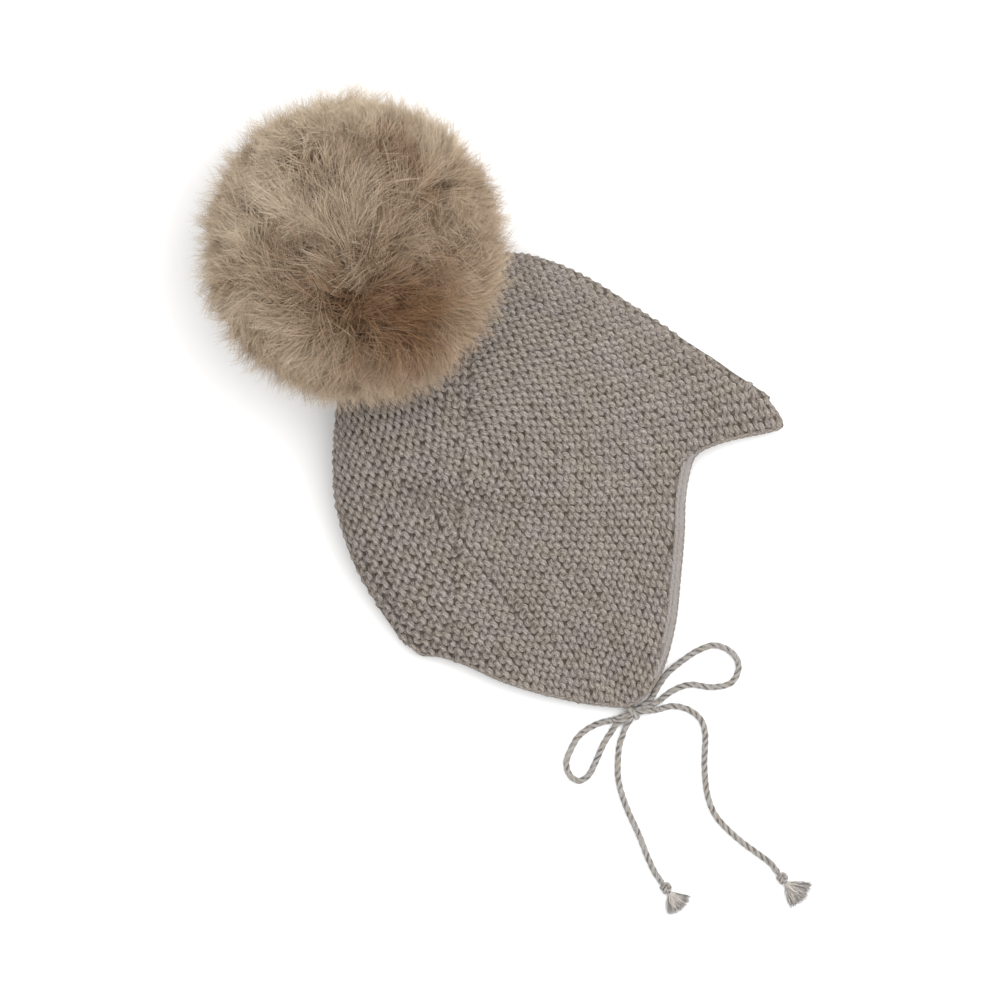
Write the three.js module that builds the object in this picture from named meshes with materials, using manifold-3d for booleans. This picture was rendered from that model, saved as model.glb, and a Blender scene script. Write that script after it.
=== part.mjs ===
import * as THREE from 'three';
import { mergeVertices } from 'three/addons/utils/BufferGeometryUtils.js';
import Module from 'manifold-3d';

// A toddler's knitted helmet hat lying on its left side: a hood of thick garter knitting with a
// forehead peak and two ear flaps, a large fur pompom on the crown, and chin ties tied in a bow.
// Millimetres, +Z up. The hat rests on z = 0, the peak points along +X and the crown towards +Y.

// Driving dimensions
const wall = 3.0;                 // thickness of the knitting
const lipReach = 0.7;             // how far the rounded edge stands out beyond the last row
const clearance = 0.35;           // gap between pieces that touch
const pompomRadius = 70.0;        // to the tips of the longest locks
const pompomCoreRadius = 56;
const pompomX = -61.2;
const pompomY = 66.6;
const pompomZ = 68.0;             // its lowest lock touches the floor
const lockCount = 81;
const lockWidth = 25;             // of a lock where it leaves the core
const cordDiameter = 2.8;
const knotX = 63.6;
const knotY = -137.5;
const endKnotLength = 5.6;
const endKnotWidth = 4.8;

const knitFinish = new THREE.MeshStandardMaterial({ color: 0x8d857d, roughness: 0.95, metalness: 0 });
const furFinish = new THREE.MeshStandardMaterial({ color: 0x96826c, roughness: 0.85, metalness: 0 });
const tieFinish = new THREE.MeshStandardMaterial({ color: 0xaba6a2, roughness: 0.9, metalness: 0 });
const frayFinish = new THREE.MeshStandardMaterial({ color: 0xb2aba7, roughness: 0.95, metalness: 0 });

// The hood is lofted through sections. Each section runs from the centre seam (the fold that the
// outline shows at the top and back) to the open edge. seamZ is the height of the seam, crest the
// greatest height of the upper side, crestAt its place along the section, lip the upper edge's
// height. Heights are of the middle of the wall.
const sections = [
  { at: 'peak tip', seamX: 123.4, seamY: 1.1, edgeX: 127.4, edgeY: -5.1, seamZ: 4.2, crest: 6.8, crestAt: 0.50, lip: 6.6 },
  { at: 'peak end', seamX: 115.5, seamY: 6.4, edgeX: 129.6, edgeY: -11.7, seamZ: 4.3, crest: 7.4, crestAt: 0.50, lip: 6.8 },
  { at: 'peak', seamX: 108.0, seamY: 11.2, edgeX: 121.2, edgeY: -14.7, seamZ: 4.8, crest: 8.6, crestAt: 0.50, lip: 7.4 },
  { at: 'peak middle', seamX: 99.2, seamY: 17.4, edgeX: 110.2, edgeY: -16.9, seamZ: 5.6, crest: 10.6, crestAt: 0.46, lip: 8.4 },
  { at: 'peak root', seamX: 88.2, seamY: 24.4, edgeX: 99.2, edgeY: -20.0, seamZ: 7.0, crest: 13.6, crestAt: 0.44, lip: 10.0 },
  { at: 'brow', seamX: 75.0, seamY: 33.2, edgeX: 91.3, edgeY: -24.4, seamZ: 8.8, crest: 17.5, crestAt: 0.42, lip: 12.0 },
  { at: 'temple', seamX: 59.6, seamY: 43.3, edgeX: 88.2, edgeY: -32.8, seamZ: 11.0, crest: 22.0, crestAt: 0.40, lip: 14.0 },
  { at: 'ear top', seamX: 42.0, seamY: 53.9, edgeX: 86.5, edgeY: -43.8, seamZ: 13.5, crest: 27.5, crestAt: 0.38, lip: 15.5 },
  { at: 'ear', seamX: 22.2, seamY: 62.7, edgeX: 86.0, edgeY: -59.2, seamZ: 16.5, crest: 33.0, crestAt: 0.36, lip: 16.0 },
  { at: 'cheek', seamX: 2.4, seamY: 64.9, edgeX: 84.3, edgeY: -79.0, seamZ: 19.5, crest: 38.5, crestAt: 0.34, lip: 15.5 },
  { at: 'jaw', seamX: -19.6, seamY: 58.7, edgeX: 82.1, edgeY: -98.8, seamZ: 22.0, crest: 43.0, crestAt: 0.32, lip: 14.0 },
  { at: 'flap front', seamX: -39.4, seamY: 47.7, edgeX: 76.8, edgeY: -118.4, seamZ: 24.0, crest: 46.0, crestAt: 0.30, lip: 11.5 },
  { at: 'flap', seamX: -55.2, seamY: 29.3, edgeX: 68.6, edgeY: -131.0, seamZ: 25.0, crest: 47.0, crestAt: 0.29, lip: 8.6 },
  { at: 'flap tip', seamX: -65.3, seamY: 7.3, edgeX: 59.2, edgeY: -135.3, seamZ: 24.5, crest: 45.5, crestAt: 0.28, lip: 7.0 },
  { at: 'flap back', seamX: -68.4, seamY: -16.5, edgeX: 43.6, edgeY: -134.0, seamZ: 22.5, crest: 41.5, crestAt: 0.28, lip: 8.0 },
  { at: 'neck', seamX: -68.0, seamY: -43.8, edgeX: 24.4, edgeY: -130.0, seamZ: 19.0, crest: 35.0, crestAt: 0.28, lip: 9.5 },
  { at: 'neck back', seamX: -60.9, seamY: -69.3, edgeX: 5.9, edgeY: -124.3, seamZ: 14.5, crest: 27.0, crestAt: 0.32, lip: 10.0 },
  { at: 'nape', seamX: -49.9, seamY: -89.5, edgeX: -10.8, edgeY: -116.8, seamZ: 10.0, crest: 18.5, crestAt: 0.38, lip: 9.4 },
  { at: 'nape low', seamX: -42.9, seamY: -100.1, edgeX: -21.8, edgeY: -113.3, seamZ: 7.2, crest: 12.5, crestAt: 0.44, lip: 8.0 },
  { at: 'nape corner', seamX: -37.2, seamY: -108.0, edgeX: -29.7, edgeY: -112.9, seamZ: 5.0, crest: 8.2, crestAt: 0.50, lip: 7.0 },
];

// Shallow dents in the upper side: a long hollow where the side sinks in above the ear, and the
// crease of the mitre where the rows change direction.
const dents = [
  { at: 'side hollow', x: -9.0, y: -43.0, length: 34, width: 13, turn: -0.12, depth: 5.0 },
  { at: 'mitre crease', x: -10.5, y: -8.0, length: 19, width: 5, turn: 1.5, depth: 1.4 },
];

const stationCount = 44;          // along the seam
const lowerSteps = 8;             // across the side that lies on the floor
const upperSteps = 16;            // across the upper side

// Smooth value of one column at a place t along the table, 0 at the first row and 1 at the last
function column(name, t) {
  const place = t * (sections.length - 1);
  const row = Math.min(Math.floor(place), sections.length - 2);
  const f = place - row;
  const value = (k) => sections[THREE.MathUtils.clamp(k, 0, sections.length - 1)][name];
  const [a, b, c, d] = [value(row - 1), value(row), value(row + 1), value(row + 2)];
  return b + 0.5 * f * (c - a + f * (2 * a - 5 * b + 4 * c - d + f * (3 * (b - c) + d - a)));
}

// The seam and the open edge as seen from above, moved inwards by half a wall and by the lip
function planPoint(kind, t) {
  const h = 1e-3;
  const [lo, hi] = [Math.max(t - h, 0), Math.min(t + h, 1)];
  const x = column(`${kind}X`, t);
  const y = column(`${kind}Y`, t);
  const along = new THREE.Vector2(
    column(`${kind}X`, hi) - column(`${kind}X`, lo),
    column(`${kind}Y`, hi) - column(`${kind}Y`, lo),
  ).normalize();
  const inset = kind === 'seam' ? wall / 2 : lipReach;
  const side = kind === 'seam' ? 1 : -1;
  return new THREE.Vector2(x - side * inset * along.y, y + side * inset * along.x);
}

function dentDepth(x, y) {
  let depth = 0;
  for (const dent of dents) {
    const [dx, dy] = [x - dent.x, y - dent.y];
    const u = (dx * Math.cos(dent.turn) + dy * Math.sin(dent.turn)) / dent.length;
    const v = (dy * Math.cos(dent.turn) - dx * Math.sin(dent.turn)) / dent.width;
    depth += dent.depth * Math.exp(-u * u - v * v);
  }
  return depth;
}

// A point of the middle of the wall. q runs from -1 at the lower open edge, round the seam at 0,
// to 1 at the upper open edge. The lower side lies flat on the floor once it has left the seam.
function middle(t, q) {
  const seam = planPoint('seam', t);
  const edge = planPoint('edge', t);
  const crestAt = column('crestAt', t);
  const seamZ = column('seamZ', t);
  const reach = q < 0 ? Math.min(crestAt, 0.8 * seamZ / seam.distanceTo(edge) + 0.06) : crestAt;
  const turnShare = q < 0 ? 0.45 : 0.42;
  const far = q < 0 ? wall / 2 : column('crest', t);
  const m = Math.abs(q);
  let s;
  let z;
  if (m < turnShare) {
    const angle = (m / turnShare) * Math.PI / 2;
    s = reach * (1 - Math.cos(angle));
    z = seamZ + (far - seamZ) * Math.sin(angle);
  } else {
    const fall = (m - turnShare) / (1 - turnShare);
    s = reach + (1 - reach) * fall;
    const end = q < 0 ? wall / 2 : column('lip', t);
    z = end + (far - end) * (0.5 + 0.5 * Math.cos(Math.PI * fall));
  }
  const x = seam.x + (edge.x - seam.x) * s;
  const y = seam.y + (edge.y - seam.y) * s;
  const sink = q > 0 ? dentDepth(x, y) * Math.sin(Math.min(m / turnShare, 1) * Math.PI / 2) : 0;
  return new THREE.Vector3(x, y, z - sink);
}

function outwards(t, q) {
  const h = 2e-3;
  const along = middle(Math.min(t + h, 1), q).sub(middle(Math.max(t - h, 0), q));
  const across = middle(t, Math.min(q + h, 1)).sub(middle(t, Math.max(q - h, -1)));
  return along.cross(across).normalize();
}

const stations = Array.from({ length: stationCount + 1 }, (_, i) => i / stationCount);
const crossings = [
  ...Array.from({ length: lowerSteps }, (_, j) => -1 + j / lowerSteps),
  ...Array.from({ length: upperSteps + 1 }, (_, j) => j / upperSteps),
];

// Closed wall: outer face, inner face, and a rounded lip all the way round the open edge
function shellGeometry() {
  const rows = stations.length;
  const cols = crossings.length;
  const points = [];
  for (const offset of [wall / 2, -wall / 2]) {
    for (const t of stations) {
      for (const q of crossings) points.push(middle(t, q).addScaledVector(outwards(t, q), offset));
    }
  }
  const outer = (i, j) => i * cols + j;
  const inner = (i, j) => rows * cols + i * cols + j;
  const faces = [];
  for (let i = 0; i < rows - 1; i += 1) {
    for (let j = 0; j < cols - 1; j += 1) {
      faces.push([outer(i, j), outer(i + 1, j + 1), outer(i, j + 1)], [outer(i, j), outer(i + 1, j), outer(i + 1, j + 1)]);
      faces.push([inner(i, j), inner(i, j + 1), inner(i + 1, j + 1)], [inner(i, j), inner(i + 1, j + 1), inner(i + 1, j)]);
    }
  }
  const rim = [];
  for (let i = 0; i < rows - 1; i += 1) rim.push([i, 0]);
  for (let j = 0; j < cols - 1; j += 1) rim.push([rows - 1, j]);
  for (let i = rows - 1; i > 0; i -= 1) rim.push([i, cols - 1]);
  for (let j = cols - 1; j > 0; j -= 1) rim.push([0, j]);
  const lipStart = points.length;
  rim.forEach(([i, j], k) => {
    const [pi, pj] = rim[(k + rim.length - 1) % rim.length];
    const [ni, nj] = rim[(k + 1) % rim.length];
    const [t, q] = [stations[i], crossings[j]];
    const along = middle(stations[ni], crossings[nj]).sub(middle(stations[pi], crossings[pj]));
    const away = outwards(t, q).cross(along).normalize();
    points.push(middle(t, q).addScaledVector(away, lipReach));
  });
  rim.forEach(([i, j], k) => {
    const [ni, nj] = rim[(k + 1) % rim.length];
    const [lip, nextLip] = [lipStart + k, lipStart + (k + 1) % rim.length];
    faces.push([outer(i, j), nextLip, outer(ni, nj)], [outer(i, j), lip, nextLip]);
    faces.push([lip, inner(ni, nj), nextLip], [lip, inner(i, j), inner(ni, nj)]);
  });
  return indexed(points, faces);
}

function indexed(points, faces) {
  const geometry = new THREE.BufferGeometry().setFromPoints(points);
  geometry.setIndex(faces.flat());
  return geometry;
}

// The hood's outer form as one closed block, grown by the clearance: it shapes the pompom's seat
function crownForm() {
  const ringOf = (t) => crossings.map((q) => middle(t, q).addScaledVector(outwards(t, q), wall / 2 + clearance));
  const rings = stations.map(ringOf);
  const size = crossings.length;
  const points = rings.flat();
  const faces = [];
  for (let i = 0; i < rings.length - 1; i += 1) {
    for (let j = 0; j < size; j += 1) {
      const [a, b] = [i * size + j, i * size + (j + 1) % size];
      faces.push([a, b + size, b], [a, a + size, b + size]);
    }
  }
  for (const [ring, first] of [[rings[0], 0], [rings[rings.length - 1], (rings.length - 1) * size]]) {
    const centre = ring.reduce((sum, p) => sum.add(p), new THREE.Vector3()).divideScalar(size);
    points.push(centre);
    for (let j = 0; j < size; j += 1) {
      const [a, b] = [first + j, first + (j + 1) % size];
      faces.push(first === 0 ? [points.length - 1, a, b] : [points.length - 1, b, a]);
    }
  }
  return indexed(points, faces);
}

// Solids that are joined or cut
const wasm = await Module();
wasm.setup();

function toSolid(geometry) {
  const bare = geometry.clone();
  for (const name of Object.keys(bare.attributes)) if (name !== 'position') bare.deleteAttribute(name);
  const merged = mergeVertices(bare, 1e-4);
  return new wasm.Manifold(new wasm.Mesh({
    numProp: 3,
    vertProperties: Float32Array.from(merged.attributes.position.array),
    triVerts: Uint32Array.from(merged.index.array),
  }));
}

function toGeometry(solid) {
  const mesh = solid.getMesh();
  const geometry = new THREE.BufferGeometry();
  geometry.setAttribute('position', new THREE.BufferAttribute(mesh.vertProperties, 3));
  geometry.setIndex(new THREE.BufferAttribute(mesh.triVerts, 1));
  return geometry;
}

const joined = (geometries) => geometries.map(toSolid).reduce((sum, next) => sum.add(next));

// Repeatable scatter between 0 and 1
const scatter = (n) => {
  const v = Math.sin(n * 127.1 + 11.7) * 43758.5453;
  return v - Math.floor(v);
};

// Pompom: bent locks set by the golden angle on a round core, leaning away from the parting
const pompomCentre = new THREE.Vector3(pompomX, pompomY, pompomZ);
const parting = new THREE.Vector3(0.05, -0.38, 0.92).normalize();

function lockGeometry(normal, length, width) {
  const cone = new THREE.ConeGeometry(width / 2, length, 5, 2);
  cone.translate(0, length / 2, 0);
  const place = cone.attributes.position;
  for (let k = 0; k < place.count; k += 1) {
    const f = place.getY(k) / length;
    const fuller = f > 0.1 && f < 0.9 ? 1.35 : 1;
    place.setXYZ(k, place.getX(k) * fuller + 0.3 * length * f * f, place.getY(k), place.getZ(k) * fuller);
  }
  const lean = normal.clone().multiplyScalar(normal.dot(parting)).sub(parting).normalize();
  const side = lean.clone().cross(normal).normalize();
  cone.applyMatrix4(new THREE.Matrix4().makeBasis(lean, normal, side));
  return cone;
}

function pompomGeometry() {
  const goldenAngle = Math.PI * (3 - Math.sqrt(5));
  const root = pompomCoreRadius - 9;
  const pieces = [new THREE.IcosahedronGeometry(pompomCoreRadius, 4)];
  for (let n = 0; n < lockCount; n += 1) {
    const up = 1 - (2 * n + 1) / lockCount;
    const ring = Math.sqrt(1 - up * up);
    const normal = new THREE.Vector3(ring * Math.cos(goldenAngle * n), ring * Math.sin(goldenAngle * n), up);
    const tip = pompomRadius - 3 * scatter(n);
    const lock = lockGeometry(normal, tip - root - 0.3, lockWidth * (0.85 + 0.3 * scatter(n + 500)));
    lock.translate(normal.x * root, normal.y * root, normal.z * root);
    pieces.push(lock);
  }
  for (const piece of pieces) piece.translate(pompomCentre.x, pompomCentre.y, pompomCentre.z);
  const ball = joined(pieces).subtract(toSolid(crownForm()));
  const parts = ball.decompose().sort((a, b) => b.volume() - a.volume());
  return toGeometry(parts[0]);
}

// Cord routes lie on the floor; each point is [x, y] and the height is the cord's own radius
const cordRadius = cordDiameter / 2;
const routes = {
  bow_loop_right: [[71.9, -130.2], [74.6, -125.6], [78.3, -120.3], [85.1, -114.6], [92.6, -109.8],
    [99.2, -107.8], [105.8, -110.2], [109.6, -115.1], [109.3, -120.3], [106.3, -124.5], [98.3, -126.3],
    [88.2, -125.2], [81.2, -127.6], [74.8, -132.2]],
  bow_loop_left: [[53.9, -140.8], [47.3, -142.6], [39.8, -147.4], [36.1, -153.3], [33.9, -159.5],
    [35.4, -165.0], [39.4, -167.6], [43.6, -165.2], [46.6, -159.7], [50.4, -151.1], [54.8, -144.3]],
  tie_tail_left: [[59.2, -146.3], [57.4, -151.6], [56.7, -158.2], [56.7, -165.7], [58.2, -172.9],
    [61.2, -181.1], [66.2, -192.1], [69.3, -200.9], [72.4, -208.1], [74.6, -211.4]],
  tie_tail_right: [[75.0, -136.0], [80.7, -134.6], [88.2, -136.4], [93.3, -140.8], [95.1, -146.7],
    [95.0, -153.8], [94.8, -161.3], [96.3, -174.5], [100.0, -183.3], [110.2, -193.6], [118.1, -199.5],
    [123.4, -203.3], [126.1, -206.4]],
};

const flatCurve = (points, height) => new THREE.CatmullRomCurve3(points.map(([x, y]) => new THREE.Vector3(x, y, height)));

function tubeGeometry(curve, steps, radius, sides = 8) {
  const section = new THREE.Shape();
  for (let k = 0; k < sides; k += 1) {
    const angle = ((k + 0.5) / sides) * Math.PI * 2;
    const [x, y] = [radius * Math.cos(angle), radius * Math.sin(angle)];
    if (k === 0) section.moveTo(x, y);
    else section.lineTo(x, y);
  }
  section.closePath();
  return new THREE.ExtrudeGeometry(section, { steps, extrudePath: curve, bevelEnabled: false });
}

function ellipsoid(x, y, z, rx, ry, rz, turn = 0, detail = 1) {
  const ball = new THREE.IcosahedronGeometry(1, detail);
  ball.scale(rx, ry, rz);
  ball.rotateZ(turn);
  ball.translate(x, y, z);
  return ball;
}

// Bow knot: a wrapped middle with a short arm for every strand, and a stem to the two flap tips
function bowKnotGeometry() {
  const pieces = [ellipsoid(knotX, knotY, 3.4, 4.8, 3.9, 3.4, 0.6)];
  for (const route of Object.values(routes)) {
    for (const [end, next] of route === routes.tie_tail_left || route === routes.tie_tail_right
      ? [[route[0], route[1]]] : [[route[0], route[1]], [route.at(-1), route.at(-2)]]) {
      const away = new THREE.Vector2(end[0] - next[0], end[1] - next[1]).normalize().multiplyScalar(clearance);
      const stop = [end[0] + away.x, end[1] + away.y];
      const before = [stop[0] + away.x * 6, stop[1] + away.y * 6];
      pieces.push(tubeGeometry(flatCurve([stop, before, [knotX, knotY]], cordRadius), 3, cordRadius));
    }
  }
  const stem = new THREE.CatmullRomCurve3([
    new THREE.Vector3(knotX, knotY, 3.6),
    new THREE.Vector3(knotX - 2.0, knotY + 1.6, 3.6),
    new THREE.Vector3(knotX - 3.8, knotY + 3.0, 3.6),
  ]);
  pieces.push(tubeGeometry(stem, 2, cordRadius));
  return toGeometry(joined(pieces).subtract(toSolid(crownForm())));
}

// Each tie ends in a small overhand knot and a frayed fan of its own strands
const ties = [
  { side: 'left', route: 'tie_tail_left', seat: -0.85, fan: -0.92, spread: 1.4, fray: 8.2 },
  { side: 'right', route: 'tie_tail_right', seat: -1.1, fan: -0.55, spread: 1.3, fray: 10.4 },
];
const strandCount = 8;

function endKnotPlace(tie) {
  const route = routes[tie.route];
  const [last, before] = [route.at(-1), route.at(-2)];
  const heading = Math.atan2(last[1] - before[1], last[0] - before[0]);
  const reach = endKnotLength / 2 + clearance;
  return { x: last[0] + reach * Math.cos(heading), y: last[1] + reach * Math.sin(heading), heading };
}

function endKnotGeometry(tie) {
  const { x, y, heading } = endKnotPlace(tie);
  const z = endKnotWidth / 2;
  const strand = 1.15;
  const body = ellipsoid(x, y, z, endKnotLength / 2, z - 0.3, z - 0.2, heading);
  const wrap = new THREE.TorusGeometry(z - strand, strand, 5, 9);
  wrap.rotateY(Math.PI / 2);
  wrap.rotateZ(heading + 0.5);
  wrap.translate(x, y, z);
  return toGeometry(joined([body, wrap]));
}

function tasselGeometry(tie) {
  const place = endKnotPlace(tie);
  const headRadius = 1.5;
  const away = endKnotLength / 2 + clearance + headRadius + 0.2;
  const [x, y] = [place.x + away * Math.cos(tie.seat), place.y + away * Math.sin(tie.seat)];
  const pieces = [ellipsoid(x, y, headRadius, headRadius, headRadius, headRadius, 0, 1)];
  for (let k = 0; k < strandCount; k += 1) {
    const f = k / (strandCount - 1) - 0.5;
    const length = tie.fray * (1 - 0.5 * f * f + 0.1 * scatter(k + 40));
    const strand = new THREE.ConeGeometry(1.1, length, 4, 1);
    strand.rotateX(Math.PI);
    strand.translate(0, length / 2 - 0.6, 0);
    strand.scale(1, 1, 0.75);
    strand.rotateZ(tie.fan - Math.PI / 2 + f * tie.spread);
    strand.translate(x, y, 0.95 + 0.9 * (k % 2));
    pieces.push(strand);
  }
  return toGeometry(joined(pieces));
}

const group = new THREE.Group();

function addPiece(name, geometry, finish) {
  const mesh = new THREE.Mesh(geometry, finish);
  mesh.name = name;
  group.add(mesh);
}

addPiece('knit_shell', shellGeometry(), knitFinish);
addPiece('pompom', pompomGeometry(), furFinish);
addPiece('bow_knot', bowKnotGeometry(), tieFinish);
const steps = { bow_loop_right: 20, bow_loop_left: 16, tie_tail_left: 12, tie_tail_right: 16 };
for (const [name, route] of Object.entries(routes)) {
  addPiece(name, tubeGeometry(flatCurve(route, cordRadius), steps[name], cordRadius), tieFinish);
}
for (const tie of ties) {
  addPiece(`end_knot_${tie.side}`, endKnotGeometry(tie), tieFinish);
  addPiece(`tassel_${tie.side}`, tasselGeometry(tie), frayFinish);
}

export default group;
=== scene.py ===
import math
import bpy
import bmesh
import numpy as np
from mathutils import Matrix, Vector, kdtree
from mathutils.bvhtree import BVHTree


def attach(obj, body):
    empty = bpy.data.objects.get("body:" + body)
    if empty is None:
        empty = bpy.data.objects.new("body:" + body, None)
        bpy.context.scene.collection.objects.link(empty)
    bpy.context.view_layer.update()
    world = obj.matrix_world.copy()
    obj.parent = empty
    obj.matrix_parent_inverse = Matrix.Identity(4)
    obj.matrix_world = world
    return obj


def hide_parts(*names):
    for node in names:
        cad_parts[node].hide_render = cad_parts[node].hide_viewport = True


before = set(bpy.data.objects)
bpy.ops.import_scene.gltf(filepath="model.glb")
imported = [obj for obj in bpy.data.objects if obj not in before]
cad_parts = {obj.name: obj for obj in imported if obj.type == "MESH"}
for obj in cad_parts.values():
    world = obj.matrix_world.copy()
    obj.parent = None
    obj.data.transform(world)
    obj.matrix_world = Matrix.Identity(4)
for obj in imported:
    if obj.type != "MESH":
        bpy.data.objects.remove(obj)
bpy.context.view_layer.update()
mm = 0.001


# small helpers for meshes, paths and searches

def newMesh(name, points, faces, edges=()):
    mesh = bpy.data.meshes.new(name)
    mesh.from_pydata((np.asarray(points, float) * mm).tolist(), list(edges), list(faces))
    mesh.update()
    return mesh


def newObject(name, data):
    piece = bpy.data.objects.new(name, data)
    bpy.context.scene.collection.objects.link(piece)
    return piece


def setAll(target, values):
    for key, value in values.items():
        setattr(target, key, value)


def setNumbers(mesh, name, values):
    values = np.asarray(values, np.float32)
    kind, field = ("FLOAT", "value") if values.ndim == 1 else ("FLOAT_VECTOR", "vector")
    mesh.attributes.new(name, kind, "POINT").data.foreach_set(field, values.ravel())


def gridFaces(rows, cols, start=0, around=False):
    # quads over a grid of points, closed across the columns where asked
    index = start + np.arange(rows * cols).reshape(rows, cols)
    if around:
        index = np.hstack([index, index[:, :1]])
    corners = (index[:-1, :-1], index[:-1, 1:], index[1:, 1:], index[1:, :-1])
    return np.stack(corners, -1).reshape(-1, 4)


def unit(v):
    return v / np.maximum(np.linalg.norm(v, axis=-1, keepdims=True), 1e-9)


def lengthSoFar(points):
    return np.concatenate([[0], np.cumsum(np.linalg.norm(np.diff(points, axis=0), axis=1))])


def evenPoints(points, places):
    gone = lengthSoFar(points)
    return np.stack([np.interp(places, gone, values) for values in points.T], -1)


def smoothPath(knots, spacing):
    # centripetal curve through the knots, then even steps along it
    k = np.asarray(knots, float)
    k = np.vstack([2 * k[0] - k[1], k, 2 * k[-1] - k[-2]])
    fine = []
    for i in range(1, len(k) - 2):
        spots = k[i - 1:i + 3]
        times = np.cumsum([0, *(np.maximum(np.linalg.norm(np.diff(spots, axis=0), axis=1), 1e-6) ** 0.5)])
        t = np.linspace(times[1], times[2], 24, endpoint=False)[:, None]
        for level in (((0, 1), (1, 2), (2, 3)), ((0, 2), (1, 3)), ((1, 2),)):
            spots = [((times[high] - t) * a + (t - times[low]) * b) / (times[high] - times[low])
                     for (low, high), a, b in zip(level, spots, spots[1:])]
        fine.append(spots[0])
    fine = np.vstack(fine + [k[-2:-1]])
    whole = lengthSoFar(fine)[-1]
    return evenPoints(fine, np.linspace(0, whole, max(int(round(whole / spacing)), 2) + 1))


def carriedFrames(points):
    # two directions across the path that turn as little as they can along it
    along = unit(np.gradient(points, axis=0))
    side = np.cross(along[0], (0, 0, 1))
    if np.linalg.norm(side) < 0.1:
        side = np.cross(along[0], (0, 1, 0))
    sides = []
    for direction in along:
        side = unit(side - direction * side.dot(direction))
        sides.append(side)
    return along, np.array(sides), np.cross(along, sides)


def treeOf(spots):
    tree = kdtree.KDTree(len(spots))
    for index, spot in enumerate(spots.tolist()):
        tree.insert((*spot, 0)[:3], index)
    tree.balance()
    return tree


def nearestIn(tree, wanted):
    return np.array([tree.find((*spot, 0)[:3])[1] for spot in wanted.tolist()])


def runs(good, least):
    # start and end of each unbroken run of at least so many points
    ends = np.flatnonzero(np.diff(np.concatenate([[0], good.astype(int), [0]]))).reshape(-1, 2)
    return ends[ends[:, 1] - ends[:, 0] >= least]


# yarn: a node tree sweeps a round or flat profile along every line of a piece

yarnInputs = {"Sides": ("Int", 6), "Flat": ("Bool", False), "Turn": ("Float", 0.0), "Seed": ("Int", 3)}
yarnNodes = {
    "lines": "MeshToCurve", "width": "InputNamedAttribute", "strand": "InputNamedAttribute",
    "tilt": "SetCurveTilt", "ring": "CurvePrimitiveCircle", "flat": "CurvePrimitiveLine", "choose": "Switch",
    "here": "InputPosition", "keep": "StoreNamedAttribute", "sweep": "CurveToMesh",
    "smooth": "SetShadeSmooth", "realize": "RealizeInstances", "finish": "SetMaterial",
}
yarnEnds = {"given": "NodeGroupInput", "result": "NodeGroupOutput", "turn": "FunctionNodeRandomValue"}
yarnKinds = {"width": "FLOAT", "strand": "FLOAT", "turn": "FLOAT", "keep": "FLOAT_VECTOR"}
yarnValues = (
    ("width", "Name", "width"), ("strand", "Name", "strand"), ("keep", "Name", "ring"),
    ("ring", "Radius", 1.0), ("flat", "Start", (-1, 0, 0)), ("flat", "End", (1, 0, 0)),
    ("sweep", "Fill Caps", True),
)
yarnLinks = (
    ("given", "Geometry", "lines", "Mesh"), ("lines", "Curve", "tilt", "Curve"),
    ("width", "Attribute", "sweep", "Scale"), ("strand", "Attribute", "turn", "ID"),
    ("given", "Seed", "turn", "Seed"), ("given", "Turn", "turn", "Max"), ("turn", "Value", "tilt", "Tilt"),
    ("given", "Sides", "ring", "Resolution"), ("given", "Flat", "choose", "Switch"),
    ("ring", "Curve", "choose", "False"), ("flat", "Curve", "choose", "True"),
    ("choose", "Output", "keep", "Geometry"), ("here", "Position", "keep", "Value"),
    ("tilt", "Curve", "sweep", "Curve"), ("keep", "Geometry", "sweep", "Profile Curve"),
    ("sweep", "Mesh", "smooth", "Geometry"), ("smooth", "Geometry", "realize", "Geometry"),
    ("realize", "Geometry", "finish", "Geometry"), ("given", "Finish", "finish", "Material"),
    ("finish", "Geometry", "result", "Geometry"),
)


def socketOf(sockets, name):
    return next(s for s in sockets if s.enabled and s.name == name)


def yarnTree():
    tree = bpy.data.node_groups.new("yarnSweep", "GeometryNodeTree")
    face = tree.interface
    face.new_socket("Geometry", in_out="INPUT", socket_type="NodeSocketGeometry")
    for name, (kind, value) in yarnInputs.items():
        face.new_socket(name, in_out="INPUT", socket_type="NodeSocket" + kind).default_value = value
    face.new_socket("Finish", in_out="INPUT", socket_type="NodeSocketMaterial")
    face.new_socket("Geometry", in_out="OUTPUT", socket_type="NodeSocketGeometry")
    nodes = {name: tree.nodes.new("GeometryNode" + kind) for name, kind in yarnNodes.items()}
    for name, kind in yarnEnds.items():
        nodes[name] = tree.nodes.new(kind)
    nodes["choose"].input_type = "GEOMETRY"
    for name, kind in yarnKinds.items():
        nodes[name].data_type = kind
    for name, key, value in yarnValues:
        nodes[name].inputs[key].default_value = value
    for source, output, target, key in yarnLinks:
        tree.links.new(socketOf(nodes[source].outputs, output), socketOf(nodes[target].inputs, key))
    return tree


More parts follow.
